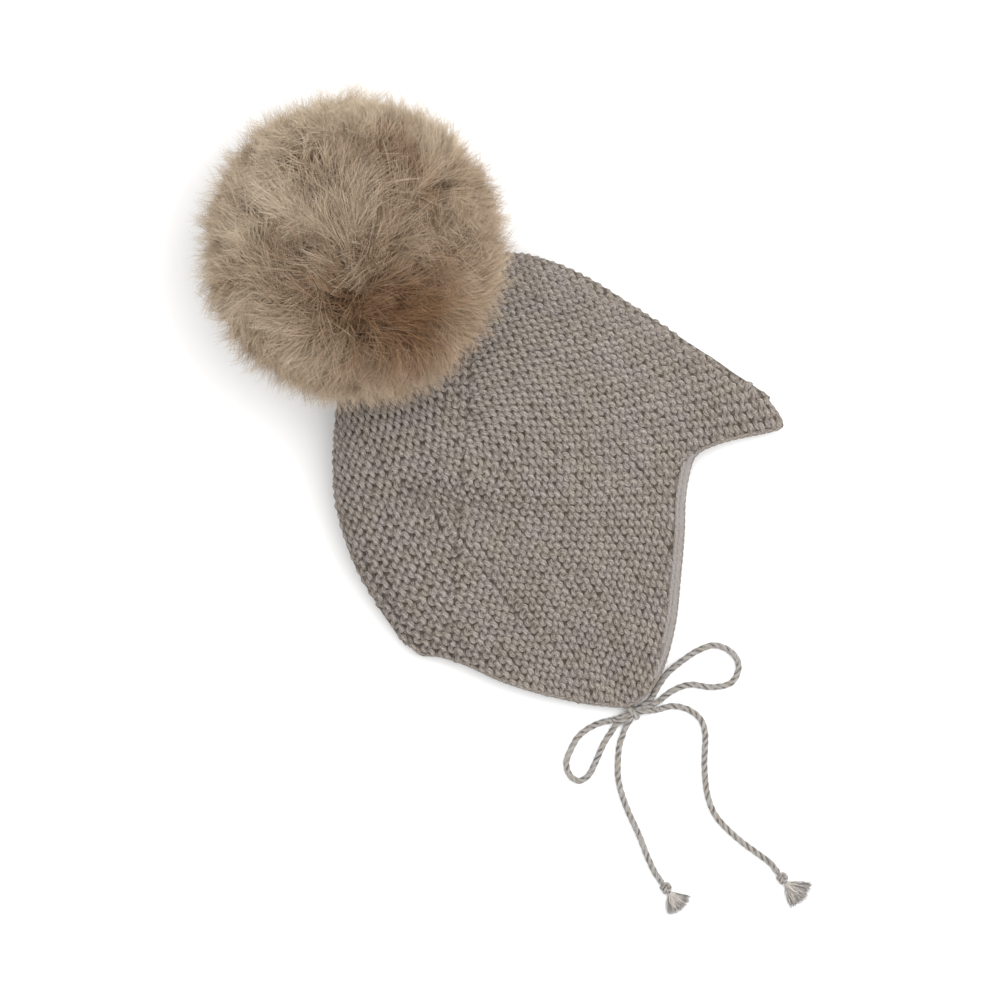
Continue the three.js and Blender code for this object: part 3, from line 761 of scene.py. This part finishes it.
def ridgeStrands(side, look, lift, samples, seed):
    # one yarn for each ridge, which loops at every stitch
    rng = np.random.default_rng(seed)
    strands = []
    u = np.arange(samples) / samples
    bend = 2 * math.pi * u
    for branch in (1, -1):
        counts, own = stitchCounts(side.flat, branch)
        roomy = own | (np.abs(side.flat[..., 0] - rowField["tipX"]) < rowField["overlap"])
        lo = np.floor(counts[own].min(0)).astype(int)
        hi = np.ceil(counts[own].max(0)).astype(int)
        wobble = rng.normal(0, look["jitter"], (hi[0] - lo[0] + 3, hi[1] - lo[1] + 3, 5))
        first = np.arange(lo[0], hi[0] + 1)
        phase = np.tile(bend, len(first))
        s = first[:, None] + u + look["overhang"] * np.sin(2 * bend) - look["skew"] * np.cos(bend)
        for ridge in range(lo[1], hi[1] + 1):
            shift, nextShift = (wobble[first - lo[0] + k, ridge - lo[1]][:, None] for k in (0, 1))
            mixed = shift * (1 - u[None, :, None]) + nextShift * u[None, :, None]
            r = ridge + look["shift"] + look["rise"] * (1 + mixed[..., 2]) * np.cos(bend)
            targets = np.stack([s + mixed[..., 0], r + mixed[..., 1]], -1).reshape(-1, 2)
            spots, good = side.find(("ridge", branch), counts, roomy, targets, look["near"])
            t, past = side.t[spots[0]], side.at("past", spots)
            _, mine = stitchCounts(side.at("flat", spots), branch)
            bare = np.where(t > look["faceEnd"], look["neckBand"], np.interp(t, *look["faceBand"]))
            height = lift + look["relief"] * np.cos(2 * phase) + look["headLift"] * np.cos(phase)
            height = height + foldLift(t, past)
            path = side.at("point", spots) + unit(side.at("normal", spots)) * height[:, None]
            clear = np.linalg.norm(path - pompomCentre, axis=1) > look["hidden"]
            good &= mine & (side.at("gap", spots) > bare) & clear & (past > -look["pastFold"])
            path[:, 2] = np.maximum(path[:, 2], look["yarnRadius"] + 0.06)
            uneven = mixed.reshape(-1, 5) * look["uneven"]
            # painted light and shade: paler where the yarn stands higher, darker where it lies lower
            heightShade = look["heightShade"][0] * np.cos(phase) + look["heightShade"][1] * np.cos(2 * phase)
            wide = look["yarnRadius"] * (1 + uneven[:, 3])
            toneAndShade = np.clip(look["toneAndShade"] + uneven[:, 4] + heightShade, 0, 1)
            for start, stop in runs(good, look["leastRun"]):
                strands.append((path[start:stop], wide[start:stop], toneAndShade[start:stop],
                                ridge * look["toneShift"]))
    return strands


woolFinish = woolMaterial("hood_wool", woolLook)
for side, look, lift, samples, seed, sides, names in stitchLayers:
    strands = ridgeStrands(side, look, lift, samples, seed)
    part = len(strands) // len(names)
    for index, name in enumerate(names):
        stop = (index + 1) * part if index + 1 < len(names) else None
        place(yarnPiece(name, strands[index * part:stop], woolFinish, sides=sides), "knit")


# edge bands: rows of flat yarn that follow the border, the first on the rim itself, two along the face

bands = (
    {"gap": 0.35, "radius": 1.0, "wave": 0.12, "lifted": 0, "from": -1, "to": 2},
    {"gap": 1.4, "radius": 1.35, "wave": 0.15, "lifted": 1, "from": 0.27, "to": 0.60},
    {"gap": 2.9, "radius": 1.30, "wave": 0.15, "lifted": 1, "from": 0.31, "to": 0.56},
)
border = {"step": 0.55, "rounds": 6, "waveLength": 3.1, "swell": 0.06, "near": 1.5, "leastRun": 6,
          "toneShift": 31.0}


def bandStrands(side, lift, seed):
    rng = np.random.default_rng(seed)
    even = np.arange(0, lengthSoFar(side.rimLine)[-1], border["step"])
    soft = evenPoints(side.rimLine, even)
    for _ in range(border["rounds"]):
        soft[1:-1] = (soft[:-2] + 2 * soft[1:-1] + soft[2:]) / 4
    ahead = unit(np.gradient(soft, axis=0))
    inward = np.stack([-ahead[:, 1], ahead[:, 0]], -1)
    if np.median(np.sum(inward * (side.flat[200, 100] - soft), axis=1)) < 0:
        inward = -inward
    anywhere = np.ones(side.flat.shape[:2], bool)
    wide = 1 + border["swell"] * np.cos(even * 4 * math.pi / border["waveLength"])
    strands = []
    for number, band in enumerate(bands):
        sway = band["wave"] * np.sin(even * 2 * math.pi / border["waveLength"] + number * math.pi)
        targets = soft + inward * (band["gap"] + sway)[:, None]
        spots, keep = side.find("flat", side.flat, anywhere, targets, border["near"])
        path = side.at("point", spots) + unit(side.at("normal", spots)) * lift * band["lifted"]
        t = side.t[spots[0]]
        keep = keep & (np.linalg.norm(path - pompomCentre, axis=1) > stitch["hidden"])
        keep &= (t < band["to"]) & (t > band["from"])
        path[:, 2] = np.maximum(path[:, 2], band["radius"] + 0.06)
        strands.append([(path[start:stop], band["radius"] * wide[start:stop], rng.uniform(0.3, 0.9),
                         number * border["toneShift"]) for start, stop in runs(keep, border["leastRun"])])
    return strands[0], strands[1] + strands[2]


upperRims, upperStrips = bandStrands(upperSide, 0.25, 21)
lowerRims, lowerStrips = bandStrands(lowerSide, 0.05, 22)
bandFinish = woolMaterial("edge_wool", bandLook)
place(yarnPiece("edge_strips", upperStrips + lowerStrips, bandFinish, sides=6), "knit")
place(yarnPiece("edge_rims", upperRims + lowerRims, woolFinish, sides=6), "knit")


# the ground under the stitches, dark wool as painted shade between them, and the inside of the hood, with
# painted shade in its hollows

ground = {
    "outer": 0.35, "rows": 150, "lowerSteps": 26, "upperSteps": 44, "floor": 0.5,
    "edgeWidth": 4.6, "edgeLift": 0.85, "edgeFade": 1.2,                 # the smooth strip along the face
    "faceFrom": (0.25, 0.06), "faceTo": (0.61, 0.05),
    "foldLift": 1.35, "foldWidth": 0.10, "foldScale": 25,                # a full outline round the fold
    # dark and tone: wool darkened as painted shade, under the stitches and in the hollows inside; strip: the
    # smooth strip's own colour
    "shadeDark": (0.080, 0.066, 0.053), "tone": (0.234, 0.205, 0.178), "strip": (0.318, 0.290, 0.280),
}


def groundMaterial():
    m = Finish("hood_ground_wool_and_shade", 1.0)
    where = m.place()
    ridge = m.noise(where, 420.0, 2.0, 0.55)
    patch = m.noise(where, woolLook["patch"])
    # painted shade in the hollows of the inside's ridges, which the bump also follows
    inside = m.mix(m.span(ridge, 0.35, 0.65), ground["shadeDark"], ground["tone"])
    inside = m.mix(m.span(patch, 0.4, 0.6, 0.0, 0.35), inside, woolLook["beige"])
    strip = m.tinted(ground["strip"], m.span(m.noise(where, 900.0, 3.0), 0.35, 0.65, 0.82, 1.1))
    # painted shade: the outer skin under the stitches is dark wool
    under = m.mix(m.span(m.noise(where, 330.0), 0.42, 0.62), ground["shadeDark"], ground["tone"])
    tone = m.mix(m.number("skin"), inside, under)
    return m.done(m.mix(m.number("strip"), tone, strip), ridge, 0.0012)


def groundPiece():
    ts = np.linspace(0, 1, ground["rows"] + 1)
    qs = np.concatenate([np.linspace(-1, 0, ground["lowerSteps"], endpoint=False),
                         np.linspace(0, 1, ground["upperSteps"] + 1)])
    t, q = np.meshgrid(ts, qs, indexing="ij")
    centre, away = middle(t, q), outwards(t, q)
    steps = np.linalg.norm(np.diff(centre, axis=1), axis=2)
    none = np.zeros((len(ts), 1))
    toEdge = np.minimum(np.concatenate([np.cumsum(steps[:, ::-1], 1)[:, ::-1], none], 1),
                        np.concatenate([none, np.cumsum(steps, 1)], 1))
    faceStart, faceFadeIn = ground["faceFrom"]
    faceStop, faceFadeOut = ground["faceTo"]
    inFace = np.clip((t - faceStart) / faceFadeIn, 0, 1) * np.clip((faceStop - t) / faceFadeOut, 0, 1)
    edge = ground["edgeWidth"] + ground["edgeFade"] / 2
    strip = np.clip((edge - toEdge) / ground["edgeFade"], 0, 1) * inFace
    rise = ground["outer"] + ground["edgeLift"] * strip
    rise = rise + (ground["foldLift"] - rise) * np.exp(-(q / ground["foldWidth"]) ** 2)
    rise = rise + foldLift(t, q * ground["foldScale"])
    outer = centre + away * rise[..., None]
    outer[..., 2] = np.maximum(outer[..., 2], ground["floor"])
    inner = centre - away * hood["wall"] / 2
    rows, cols = t.shape
    size = t.size
    index = np.arange(size).reshape(rows, cols)
    rim = np.concatenate([index[:-1, 0], index[-1, :-1], index[:0:-1, -1], index[0, :0:-1]])
    after = np.roll(rim, -1)
    faces = np.concatenate([gridFaces(rows, cols)[:, [0, 3, 2, 1]], gridFaces(rows, cols, size),
                            np.stack([rim, rim + size, after + size, after], -1)])
    points = np.concatenate([outer.reshape(-1, 3), inner.reshape(-1, 3)])
    mesh = newMesh("hood_ground", points, faces.tolist())
    mesh.shade_smooth()
    setNumbers(mesh, "skin", np.repeat([1, 0], size))
    setNumbers(mesh, "strip", np.concatenate([strip.ravel(), np.zeros(size)]))
    mesh.materials.append(groundMaterial())
    return newObject("hood_ground", mesh)


place(groundPiece(), "knit", "knit_shell")
print("knitting ready")


# the fur pompom: a brown core, an undercoat and longer outer hairs that lean away from the parting

fur = {
    "core": 55.0, "rootRadius": (51.0, 56.5), "turn": 6.28,
    "tufts": (4000, 0.012, 5), "bigLocks": (380, 0.04, 6),    # how many, how uneven, and the seed
    "lean": 0.145, "swirl": 0.07, "stray": 0.11, "hairStray": 0.12, "curl": 1.4, "wave": 0.8, "swell": 2.6,
    "below": 1.6, "aside": 1.5,                     # longer hairs towards the hood, and away from it
    # the side number is painted light: the coat is paler towards minus x and plus y
    "outline": 0.8, "lockTone": 0.10, "tuftTone": 0.10, "sideLight": 0.20, "hairTone": 0.09,
    "clear": 0.9, "coreClear": 0.6,                 # kept between the fur and the hood
    # browner places in the coat: direction from the middle, size and strength
    "brown": ((0.02, -0.50, 0.85, 0.24, 0.44), (-0.35, -0.16, 0.92, 0.24, 0.52),
              (0.36, -0.40, 0.84, 0.26, 0.46), (0.28, -0.08, 0.95, 0.26, 0.14),
              (0.22, 0.50, 0.84, 0.32, 0.46), (0.06, -0.80, 0.60, 0.26, 0.22),
              (0.44, -0.66, 0.60, 0.26, 0.46)),
}
# pull: how far the hairs of a tuft run together
undercoat = {"count": 62000, "steps": 2, "tip": (62.0, 68.2), "width": (0.19, 0.035), "pull": (0.20, 0.70),
             "seed": 61}
outerCoat = {"count": 26000, "steps": 4, "tip": (66.2, 75.6), "width": (0.085, 0.016), "pull": (0.30, 0.95),
             "seed": 62}
furLook = {
    "root": (0.125, 0.068, 0.036), "rootPale": (0.380, 0.268, 0.163),
    "tip": (0.270, 0.152, 0.078), "tipPale": (0.662, 0.566, 0.440), "patch": 60.0,
}
parting = unit(np.array(pompom["parting"]))


def smoothField(directions, scale, seed, waves=14):
    # a soft random field over the ball, about -1 to 1
    rng = np.random.default_rng(seed)
    total = 0
    for _ in range(waves):
        total = total + np.sin(directions @ (unit(rng.normal(size=3)) * scale * rng.uniform(0.6, 1.4))
                               + rng.uniform(0, 2 * math.pi))
    return total / math.sqrt(waves)


def hoodTree():
    t, q = np.meshgrid(np.linspace(0.3, 0.85, 120), np.linspace(-0.9, 0.95, 150), indexing="ij")
    outer = middle(t, q) + outwards(t, q) * hood["wall"] / 2
    return BVHTree.FromPolygons(outer.reshape(-1, 3).tolist(), gridFaces(*t.shape)[:, [0, 3, 2, 1]].tolist())


hoodForm = hoodTree()


def keepOut(points, clear):
    # lifts points out of the hood and off the floor
    flat = points.reshape(-1, 3).copy()
    near = (flat[:, 2] < 62) & (flat[:, 0] > -85) & (flat[:, 1] < 85)    # the hood is far from the rest
    depth = np.full(len(flat), 99.0)
    for k in np.flatnonzero(near):
        spot, normal, _, _ = hoodForm.find_nearest(flat[k], 30.0)
        if spot is None:
            continue
        depth[k] = (flat[k] - np.array(spot)).dot(np.array(normal))
        if depth[k] < clear:
            flat[k] = np.array(spot) + np.array(normal) * clear
    flat[:, 2] = np.maximum(flat[:, 2], 0.25)
    return flat.reshape(points.shape), depth.reshape(points.shape[:-1])


def evenDirections(count, spread, seed):
    rng = np.random.default_rng(seed)
    k = np.arange(count) + 0.5
    polar, turn = np.arccos(1 - 2 * k / count), math.pi * (1 + 5 ** 0.5) * k
    even = np.stack([np.cos(turn) * np.sin(polar), np.sin(turn) * np.sin(polar), np.cos(polar)], -1)
    return unit(even + rng.normal(0, spread, even.shape))


def flow(direction):
    # which way the coat leans at a place: away from the parting, with slow swirls
    away = unit(direction - parting * (direction @ parting)[:, None])
    angle = np.arccos(np.clip(direction @ parting, -1, 1))
    amount = fur["lean"] * np.clip(angle / 0.35, 0, 1) * np.clip((math.pi - angle) / 0.5, 0, 1)
    swirl = np.stack([smoothField(direction, 8.0, seed) for seed in (91, 92, 93)], -1)
    return away * amount[:, None] + fur["swirl"] * swirl


def brownness(direction):
    total = 0
    for *spot, size, strength in fur["brown"]:
        total = total + strength * np.exp(-np.sum((direction - unit(np.array(spot))) ** 2, 1) / size ** 2)
    return total


def hairStrands(coat):
    tufts = evenDirections(*fur["tufts"])
    locks = evenDirections(*fur["bigLocks"])
    rng = np.random.default_rng(8)
    tuftStray = rng.normal(0, fur["stray"], tufts.shape)
    tuftReach = rng.uniform(0, 1, len(tufts)) ** 1.7
    lockStray = rng.normal(0, fur["stray"] * 0.7, locks.shape)
    lockReach = rng.uniform(-1, 1, len(locks))
    tuftLock = nearestIn(treeOf(locks), tufts)
    tuftTip = unit(tufts + flow(tufts) + tuftStray + lockStray[tuftLock])
    # roots all over the ball, fewer underneath, each hair drawn towards its tuft's tip
    rng = np.random.default_rng(coat["seed"])
    root = unit(rng.normal(size=(coat["count"], 3)))
    root = root[(root[:, 2] > -0.35) | (rng.uniform(size=coat["count"]) < 0.7)]
    count = len(root)
    tuft = nearestIn(treeOf(tufts), root)
    lock = tuftLock[tuft]
    own = unit(root + flow(root) + tuftStray[tuft] + lockStray[lock]
               + rng.normal(0, fur["hairStray"], root.shape))
    pull = rng.uniform(*coat["pull"], count)[:, None]
    pull = pull + (1 - pull) * fur["outline"] * np.clip(1 - np.abs(root[:, 2:]) / 0.6, 0, 1)
    tip = unit(own * (1 - pull) + tuftTip[tuft] * pull)
    rootRadius = rng.uniform(*fur["rootRadius"], count)
    share = tuftReach[tuft] * 0.5 + rng.uniform(0, 1, count) * (0.3 + 0.2 * pull[:, 0])
    end = coat["tip"][0] + (coat["tip"][1] - coat["tip"][0]) * share
    swell = 0.5 * smoothField(root, 6.0, 94) + 0.3 * lockReach[lock]
    end = end + fur["swell"] * swell * np.clip((72.0 - end) / 6, 0, 1)
    end = end + fur["below"] * np.clip(root @ np.array([0.35, -0.94, 0.0]), 0, 1)
    end = end + fur["aside"] * (root @ np.array([0.80, 0.45, 0.0]))
    # the line of each hair, with a little curl and wave across it
    f = np.linspace(0, 1, coat["steps"] + 1)
    bend = (f ** 1.3)[None, :, None]
    heading = unit(root[:, None] * (1 - bend) + tip[:, None] * bend)
    radius = rootRadius[:, None] + (end - rootRadius)[:, None] * (f ** 0.92)[None]
    side = unit(np.cross(root, rng.normal(size=root.shape)))
    curl = rng.uniform(-1, 1, count)[:, None] * np.sin(math.pi * f) * fur["curl"]
    across = unit(np.cross(root, side))
    wave = rng.uniform(-1, 1, count)[:, None] * np.sin(2 * math.pi * f) * fur["wave"]
    points = (pompomCentre + heading * radius[..., None]
              + side[:, None] * curl[..., None] + across[:, None] * wave[..., None])
    points, depth = keepOut(points, fur["clear"])
    toneAndShade = 0.72 + 0.13 * smoothField(root, 5.0, 71) + 0.08 * smoothField(root, 14.0, 72)
    # painted light: paler on the side towards minus x and plus y, darker on the other side
    toneAndShade = toneAndShade + fur["sideLight"] * (root @ np.array([-0.65, 0.75, 0.15]))
    toneAndShade = toneAndShade + fur["lockTone"] * lockReach[lock] + fur["tuftTone"] * (tuftReach[tuft] - 0.5)
    toneAndShade = np.clip(toneAndShade - brownness(root) + rng.normal(0, fur["hairTone"], count), 0, 1)
    thick, thin = coat["width"]
    wide = (thick + (thin - thick) * f ** 1.3)[None] * rng.uniform(0.75, 1.3, count)[:, None]
    return [(points[k], wide[k], toneAndShade[k], 0.0) for k in np.flatnonzero(depth[:, 0] > -1.0)]


def furMaterial(name, look):
    m = Finish(name, 0.7, 0.10)
    toneAndShade = m.number("toneAndShade")
    near = m.mix(toneAndShade, look["root"], look["rootPale"])
    far = m.mix(toneAndShade, look["tip"], look["tipPale"])
    tone = m.mix(m.span(m.number("share"), 0.1, 0.9), near, far)
    return m.done(m.tinted(tone, m.span(m.noise(m.place(), look["patch"], 3.0), 0.3, 0.7, 0.88, 1.10)))


furFinish = furMaterial("fur_hair", furLook)


def furCore():
    made = bpy.data.meshes.new("pompom_core")
    work = bmesh.new()
    bmesh.ops.create_icosphere(work, subdivisions=5, radius=1.0)
    directions = unit(np.array([v.co[:] for v in work.verts]))
    radius = fur["core"] + 1.2 * smoothField(directions, 9.0, 81) + 0.6 * smoothField(directions, 24.0, 82)
    points, _ = keepOut(pompomCentre + directions * radius[:, None], fur["coreClear"])
    for vertex, spot in zip(work.verts, points * mm):
        vertex.co = spot
    work.to_mesh(made)
    work.free()
    made.shade_smooth()
    toneAndShade = np.clip(0.5 + 0.2 * smoothField(directions, 9.0, 83) - brownness(directions), 0, 1)
    setNumbers(made, "toneAndShade", toneAndShade)
    setNumbers(made, "share", np.full(len(directions), 0.3))
    made.materials.append(furFinish)
    return newObject("pompom_core", made)


place(furCore(), "fur", "pompom")
hairs = hairStrands(undercoat)
half = len(hairs) // 2 + 1
coats = (("fur_undercoat_1", hairs[:half], 7), ("fur_undercoat_2", hairs[half:], 8),
         ("fur_outer_hairs", hairStrands(outerCoat), 17))
for name, strands, seed in coats:
    place(yarnPiece(name, strands, furFinish, flat=True, turn=fur["turn"], seed=seed), "fur")
print("fur ready")


# floor, light and camera, which looks straight down on the hat

studio = {
    "floor": 0.97, "world": 0.98, "boxSize": 1.8, "boxPower": 29.0, "boxPlace": (0.55, 0.28, 1.75),
    "floorHalf": 3000, "floorTop": -0.05,
}
view = {"lens": 800.0, "sensor": 36.0, "width": 440.0, "x": 4.62, "y": -43.78, "focusHeight": 20.0,
        "nearest": 0.1, "farthest": 60.0}

corners = [(x * studio["floorHalf"], y * studio["floorHalf"], studio["floorTop"])
           for x, y in ((-1, -1), (1, -1), (1, 1), (-1, 1))]
floorMesh = newMesh("floor", corners, [(0, 1, 2, 3)])
floorMesh.materials.append(Finish("pale_floor", 0.9).done((studio["floor"],) * 3))
newObject("floor", floorMesh)

world = bpy.data.worlds.new("studio")
world.use_nodes = True
world.node_tree.nodes["Background"].inputs["Color"].default_value = (1, 1, 1, 1)
world.node_tree.nodes["Background"].inputs["Strength"].default_value = studio["world"]
bpy.context.scene.world = world

lamp = bpy.data.lights.new("softbox", "AREA")
setAll(lamp, {"size": studio["boxSize"], "energy": studio["boxPower"]})
softbox = newObject("softbox", lamp)
softbox.location = studio["boxPlace"]
softbox.rotation_euler = (-Vector(studio["boxPlace"])).to_track_quat("-Z", "Y").to_euler()

lens = bpy.data.cameras.new("camera")
setAll(lens, {"lens": view["lens"], "sensor_width": view["sensor"],
              "clip_start": view["nearest"], "clip_end": view["farthest"]})
camera = newObject("camera", lens)
height = view["width"] * view["lens"] / view["sensor"] + view["focusHeight"]
camera.location = (view["x"] * mm, view["y"] * mm, height * mm)
bpy.context.scene.camera = camera
bpy.context.scene.view_settings.view_transform = "Standard"

print("scene ready")
